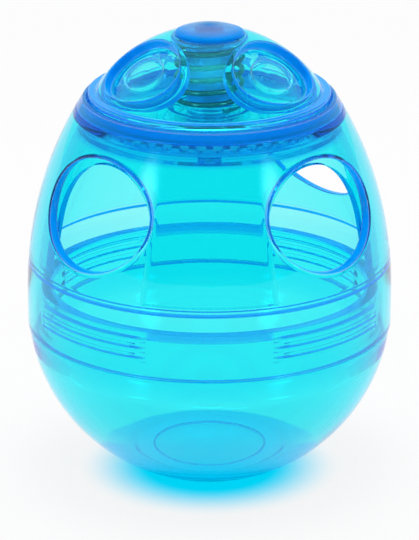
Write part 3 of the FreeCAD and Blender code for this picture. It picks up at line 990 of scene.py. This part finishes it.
def makeButton():
    part = button
    radius, edge, crown = part["radius"], part["edge"], part["crown"]
    plug, plugEnd = part["plug"]
    bend = (radius ** 2 + crown ** 2) / (2 * crown)
    top = [(reach, edge + crown - bend + math.sqrt(bend ** 2 - reach ** 2))
           for reach in spaced(radius, 0, 24)]
    skin = Skin()
    skin.turn(softLine([
        ([(0, plugEnd), (plug, plugEnd)], 0.3),
        ((plug, part["seat"]), 0.2),
        ((radius, part["seat"]), 0.15),
        ((radius, edge), 0.35),
        (top, 0),
    ]), part["columns"])
    skin.makePiece("domeButton", "adjuster", ["dome_button"],
                   makePlastic("clearBlueButton", part["plastic"]))


# Slotted skirt that turns inside the upper half

shutter = {
    "insets": (2.6, 4.2),
    "bottom": 49.0,
    "windowTop": 77.0,
    "sideRows": 34,
    "windowHalf": 14.2,
    "archFoot": 61.8,
    "lip": (0.35, 0.35),
    "plate": (79.6, 77.9),
    "ring": (26.8, 28.2, 80.8),
    "hub": (6.5, 75.6, 80.6),
    "socket": (3.3, 78.5),
    "shankHole": 1.5,
    "gap": (8.1, 25.2, 2.5),
    "gapLip": (0.25, 0.25),
    "plastic": {
        "refraction": 1.15,
        "paintedShadeBlue": (0.3, 0.62, 1.0),
        "paintedShadeClearness": 0.75,
        "paintedShadeGlow": 0.05,
        "paintedShadePlaces": [[(rimMask, (25.3, 26.3)), (heightMask, (77.5, 78.5))]],   # painted shade on the ring
    },
}


def makeShutter():
    part = shutter
    insets = part["insets"]
    quarter = teeth["columns"] // 4
    skin = Skin()

    def onSkirt(face, numbers):
        return onRing(upperRadius(numbers[1], insets[face]), *numbers)

    def onPlate(face, numbers):
        return onRing(numbers[1], numbers[0], part["plate"][face])

    top = part["windowTop"]
    half, foot = part["windowHalf"], part["archFoot"]
    hubRadius, hubLow, hubHigh = part["hub"]
    plateTop, plateLow = part["plate"]
    near, far, side = part["gap"]
    ringIn, ringOut, ringTop = part["ring"]
    plateEdges = (ringIn, upperRadius(plateLow, insets[1]))
    for centre in (0, 90, 180, 270):

        def windowBorder(face):
            heights = spaced(part["bottom"], top, part["sideRows"])
            angles = quarterAngles(centre, quarter)
            loop = [(angles[0], height) for height in heights[:-1]]
            loop += [(angle, top) for angle in angles]
            return loop + [(angles[-1], height) for height in heights[-2::-1]]

        def windowRim(face, out):
            edge = []
            for angle, height in windowBorder(face):
                across = (angle - centre) / halfQuarter
                if height <= foot:
                    reach = math.copysign(half + out, across)
                    level = height
                else:
                    lean = math.atan2((height - foot) / (top - foot), across)
                    reach = (half + out) * math.cos(lean)
                    level = foot + (half + out) * math.sin(lean)
                radius = upperRadius(level, insets[face])
                edge.append((centre + math.degrees(math.asin(reach / radius)), level))
            return edge

        addOpening(skin, windowBorder, windowRim, onSkirt, part["lip"], closed=False)

        def gapBorder(face):
            reaches = spaced(hubRadius, plateEdges[face], 16)
            return roundPatch(quarterAngles(centre, quarter), reaches)

        def gapRim(face, out):
            start, end, aside = near - out, far + out, side - out
            edge = []
            for angle, reach in gapBorder(0):
                share = (reach - hubRadius) / (plateEdges[0] - hubRadius)
                away = start + (end - start) * share
                spread = halfQuarter - math.degrees(math.asin(aside / away))
                edge.append((centre + (angle - centre) / halfQuarter * spread, away))
            return edge

        addOpening(skin, gapBorder, gapRim, onPlate, part["gapLip"], 3)

    def shape(radius, height, angle):
        if height > ringTop - hair and radius > ringIn - hair:
            return radius, height + toothRise(angle, 0)
        if radius == socketHalf:
            return squareReach(socketHalf, angle), height
        return radius, height

    socketHalf, socketLow = part["socket"]
    shank = part["shankHole"]
    skirtTop = upperRadius(plateTop, insets[0])
    skin.turn([(ringIn, plateTop), (ringIn, ringTop), (ringOut, ringTop), (ringOut, plateTop)]
              + upperSide(plateTop, top, insets[0], 0.5), teeth["columns"], shape)
    skin.turn(upperSide(plateLow, top, insets[1], 0.5), teeth["columns"])
    skin.turn([(hubRadius, plateTop), (hubRadius, hubHigh), (socketHalf, hubHigh),
               (socketHalf, socketLow), (shank, socketLow), (shank, hubLow),
               (hubRadius, hubLow), (hubRadius, plateLow)], teeth["columns"], shape)
    skin.makePiece("shutter", "adjuster", ["shutter"],
                   makePlastic("clearBlueShutter", part["plastic"]))


# Screw down the middle of the stem

screw = {
    "head": (2.8, 94.5, 96.5),
    "hex": (1.25, 95.3),
    "hexMouth": 1.25,        # a share of the hex's half width
    "hexPoint": 0.3,
    "shank": 1.45,
    "root": 1.15,
    "tip": 76.4,
    "tipBevel": 0.2,
    "plain": 90.0,
    "threadPitch": 0.7,
    "columns": 72,
    "rowStep": 0.0875,
    "steel": {
        "colour": (0.5, 0.51, 0.52),
        "roughness": (0.25, 0.45),
        "stretch": (0.3, 0.3, 1),
    },
}


def makeScrew():
    part = screw
    headRadius, headLow, headHigh = part["head"]
    hexHalf, hexLow = part["hex"]
    shank, plain, tip = part["shank"], part["plain"], part["tip"]
    count = round((plain - tip) / part["rowStep"])
    threadLow = tip + part["tipBevel"]
    sides = [
        ([(0, tip), (part["root"], tip)], 0.1),
        ([(shank, height) for height in spaced(threadLow, plain, count)], 0),
        ((shank, headLow), 0),
        ((headRadius, headLow), 0.15),
        ((headRadius, headHigh), 0.4),
        ((hexHalf * part["hexMouth"], headHigh), 0),
        ((hexHalf, headHigh), 0),
        ((hexHalf, hexLow), 0),
        ((0, hexLow - part["hexPoint"]), 0),
    ]

    def shape(radius, height, angle):
        if radius == shank and height < plain:
            turn = (height / part["threadPitch"] - angle / 360) % 1
            depth = (shank - part["root"]) * abs(2 * turn - 1)
            return radius - depth * min(1, (plain - height) / part["threadPitch"]), height
        if radius == hexHalf:
            return hexHalf / math.cos(math.radians(offCentre(angle, 6))), height
        return radius, height

    skin = Skin()
    skin.turn(softLine(sides), part["columns"], shape)
    skin.makePiece("retainingScrew", "adjuster", ["retaining_screw"],
                   makeSteel("plainScrewSteel", part["steel"]))


# Compression spring round the stem

spring = {
    "wire": 0.575,
    "coil": 7.15,
    "ends": (83.875, 98.125),
    "firstAngle": -20.0,
    "turns": 6.0,
    "closedPitch": 1.62,
    "closedTurns": 1.0,
    "pitchRamp": 0.25,       # turns over which the pitch changes
    "stepsATurn": 72,
    "sides": 20,
    "seat": 83.3,
    "travel": 2.2,
    "steel": {
        "colour": (0.18, 0.19, 0.19),
        "roughness": (0.08, 0.2),
        "stretch": (1, 1, 0.15),
    },
}


def springLine():
    part = spring
    low, high = part["ends"]
    closed = part["closedTurns"]
    openTurns = part["turns"] - 2 * closed
    openPitch = (high - low - 2 * closed * part["closedPitch"]) / openTurns
    steps = round(part["turns"] * part["stepsATurn"])
    places = []
    height = low
    for index in range(steps + 1):
        turn = index / part["stepsATurn"]
        angle = part["firstAngle"] + 360 * turn
        places.append(Vector(onRing(part["coil"], angle, height)))
        inOpen = within(abs(turn + 0.5 / part["stepsATurn"] - part["turns"] / 2),
                        openTurns / 2, part["pitchRamp"])
        pitch = part["closedPitch"] + (openPitch - part["closedPitch"]) * inOpen
        height += pitch / part["stepsATurn"]
    return places


def makeSpring():
    part = spring
    line = springLine()
    skin = Skin()
    rows = []
    for index, place in enumerate(line):
        ahead = (line[min(index + 1, len(line) - 1)] - line[max(index - 1, 0)]).normalized()
        outward = Vector((place.x, place.y, 0)).normalized()
        outward = (outward - ahead * outward.dot(ahead)).normalized()
        upward = ahead.cross(outward)
        row = []
        for angle in spaced(0, 360, part["sides"])[:-1]:
            turn = math.radians(angle)
            spoke = outward * math.cos(turn) + upward * math.sin(turn)
            row.append(tuple(place + spoke * part["wire"]))
        rows.append(row)
    caps = ([tuple(line[0])] * part["sides"], [tuple(line[-1])] * part["sides"])
    skin.addRows([caps[0]] + rows + [caps[1]], closed=True)
    piece = skin.makePiece("returnSpring", "casing", ["return_spring"],
                           makeSteel("drawnSpringSteel", part["steel"]))
    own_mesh(piece)


makeLowerShell()
makeUpperShell()
makeCollarRing()
makeDome()
makeButton()
makeShutter()
makeScrew()
makeSpring()
print("stage: object made")


# Room: pale floor, plain light and the camera. Here lengths are metres, and azimuth 0 is at -Y
# and 90 at +X

room = {
    "floorHalf": 3.0,
    "floorColour": (0.99, 0.99, 0.99),
    "floorRoughness": 0.9,
    "plainFloor": 0.86,      # share of the floor that the camera sees without light or shade
    "plainInPlastic": 0.85,  # the same, through clear plastic
    # colour of the painted pool of light round the foot
    "paintedPoolColour": (0.0, 0.72, 1.0),
    "paintedPool": (0.0145, 0.03),  # a painted pool of the egg's blue light on the floor fades out between these radii
    # the painted pool as clear plastic sees it: wider, with a sharper edge
    "paintedPoolInPlastic": (0.0265, 0.0285),
    "paintedPoolShift": 0.007,      # how far forward the painted pool is moved, as light from behind would move it
    "backdrop": 1.0,         # what the camera sees past the floor
    "backdropInPlastic": 0.95,
    "mirrored": (0.5, 0.95, 1.0),    # colour of the room in reflections
    "backAzimuth": 225,
    "backLight": 0.95,
    "frontLight": 0.25,
    "blend": (-0.3, 0.6),    # the light changes between these, from -1 in front to 1 behind
}


def levelWay(azimuth):
    turn = math.radians(azimuth)
    return math.sin(turn), -math.cos(turn)


# White wherever the camera looks, also through clear plastic. Other rays see a room that is
# bright behind the egg and dim in front of it, and reflections see it tinted
def makeWorld():
    part = room
    world = bpy.data.worlds.new("paleRoom")
    scene.world = world
    paint = Paint(world)
    facing = paint.vector("DOT_PRODUCT", paint.place("Generated"),
                          (*levelWay(part["backAzimuth"]), 0))
    strength = paint.spread(facing, part["blend"], (part["frontLight"], part["backLight"]))
    for kind, shown in (("Is Transmission Ray", part["backdropInPlastic"]),
                        ("Is Camera Ray", part["backdrop"])):
        strength = paint.mix(paint.rays(kind), strength, shown, "FLOAT")
    tint = paint.mix(paint.rays("Is Glossy Ray"), (1, 1, 1), part["mirrored"])
    paint.feed(paint.nodes["Background"], {"Color": tint, "Strength": strength})


# A pale floor with a painted pool of blue light round the foot, standing for the light that has
# come through the egg; the floor's glow carries the pool's colour too
def makeFloor():
    part = room
    half = part["floorHalf"]
    mesh = bpy.data.meshes.new("floor")
    mesh.from_pydata([(-half, -half, 0), (half, -half, 0), (half, half, 0), (-half, half, 0)],
                     [], [(0, 1, 2, 3)])
    floor = addObject("floor", mesh)
    material = bpy.data.materials.new("paleFloor")
    paint = Paint(material)
    middle = [-part["paintedPoolShift"] * way for way in levelWay(part["backAzimuth"])]
    away = paint.vector("DISTANCE", paint.place(), (*middle, 0))
    inPlastic = paint.rays("Is Transmission Ray")
    # The painted pool of blue light, shown both as colour and as glow
    paintedPools = [paint.spread(away, limits, (0, 1), "SMOOTHSTEP")
             for limits in (part["paintedPool"], part["paintedPoolInPlastic"])]
    pastPaintedPool = paint.mix(inPlastic, *paintedPools, "FLOAT")
    colour = paint.mix(pastPaintedPool, part["paintedPoolColour"], part["floorColour"])
    seen = paint.rays("Is Camera Ray", "Is Glossy Ray")
    plain = paint.math("MAXIMUM", paint.spread(seen, (0, 1), (0, part["plainFloor"])),
                       paint.spread(inPlastic, (0, 1), (0, part["plainInPlastic"])))
    paint.feed(paint.nodes["Principled BSDF"], {
        "Base Color": paint.mix(plain, colour, (0, 0, 0)),
        "Roughness": part["floorRoughness"],
        "Specular IOR Level": 0.0,
        "Emission Color": colour,
        "Emission Strength": plain,
    })
    floor.data.materials.append(material)


def aroundObject(azimuth, elevation, distance, height):
    across, along = levelWay(azimuth)
    rise = math.radians(elevation)
    away = Vector((across * math.cos(rise), along * math.cos(rise), math.sin(rise)))
    return Vector((0, 0, height)) + away * distance


# Stands a camera or a lamp at a place, facing a height on the egg's axis
def addStand(name, head, stand, aim):
    holder = addObject(name, head)
    holder.location = stand
    way = Vector((0, 0, aim)) - stand
    holder.rotation_euler = way.to_track_quat("-Z", "Y").to_euler()
    return holder


camera = {
    "azimuth": 45.0,
    "elevation": 19.4,
    "distance": 0.85,
    "pivot": 0.047,
    "aim": 0.0445,
    "lens": 251.6,
    "clip": (0.05, 20),
}


def makeCamera():
    part = camera
    head = bpy.data.cameras.new("photoCamera")
    head.lens = part["lens"]
    head.clip_start, head.clip_end = part["clip"]
    stand = aroundObject(part["azimuth"], part["elevation"], part["distance"], part["pivot"])
    scene.camera = addStand("photoCamera", head, stand, part["aim"])


lamps = {
    "leftBox": {"azimuth": -3, "elevation": 20, "distance": 0.8, "size": (0.32, 0.5),
                "watts": 2, "reflects": True},
    "rightBox": {"azimuth": 93, "elevation": 20, "distance": 0.8, "size": (0.32, 0.5),
                 "watts": 2, "reflects": True},
    "topBox": {"azimuth": 225, "elevation": 82, "distance": 1.1, "size": (1.0, 1.0),
               "watts": 11, "reflects": False},
}
softBox = {
    "aim": 0.05,
    "middle": (0.5, 0.5, 0),     # on the lamp's own face, which runs from 0 to 1
    "reach": (0.0, 0.5),         # from its middle to its sides
    "strength": (2.0, 0.0),
}


# A soft box: bright in its middle and dim at its edges
def makeLamp(name, part):
    head = bpy.data.lights.new(name, "AREA")
    head.shape = "RECTANGLE"
    head.size, head.size_y = part["size"]
    head.energy = part["watts"]
    paint = Paint(head)
    face = paint.add("NewGeometry", {}).outputs["Parametric"]
    away = paint.vector("DISTANCE", face, softBox["middle"])
    fall = paint.spread(away, softBox["reach"], softBox["strength"], "SMOOTHSTEP")
    paint.feed(paint.nodes["Emission"], {"Strength": fall})
    stand = aroundObject(part["azimuth"], part["elevation"], part["distance"], softBox["aim"])
    holder = addStand(name, head, stand, softBox["aim"])
    holder.visible_camera = False
    holder.visible_glossy = part["reflects"]


lightPaths = {
    "max_bounces": 64,           # enough for a ray that stays inside the clear walls
    "transmission_bounces": 64,
    "glossy_bounces": 12,
    "diffuse_bounces": 3,
    "transparent_max_bounces": 16,
    "caustics_reflective": True,
    "caustics_refractive": True,
}


def setRender():
    scene.view_settings.view_transform = "Standard"
    for name, value in lightPaths.items():
        setattr(scene.cycles, name, value)


makeWorld()
makeFloor()
makeCamera()
for lampName, lamp in lamps.items():
    makeLamp(lampName, lamp)
setRender()
print("stage: room, camera and lamps made")
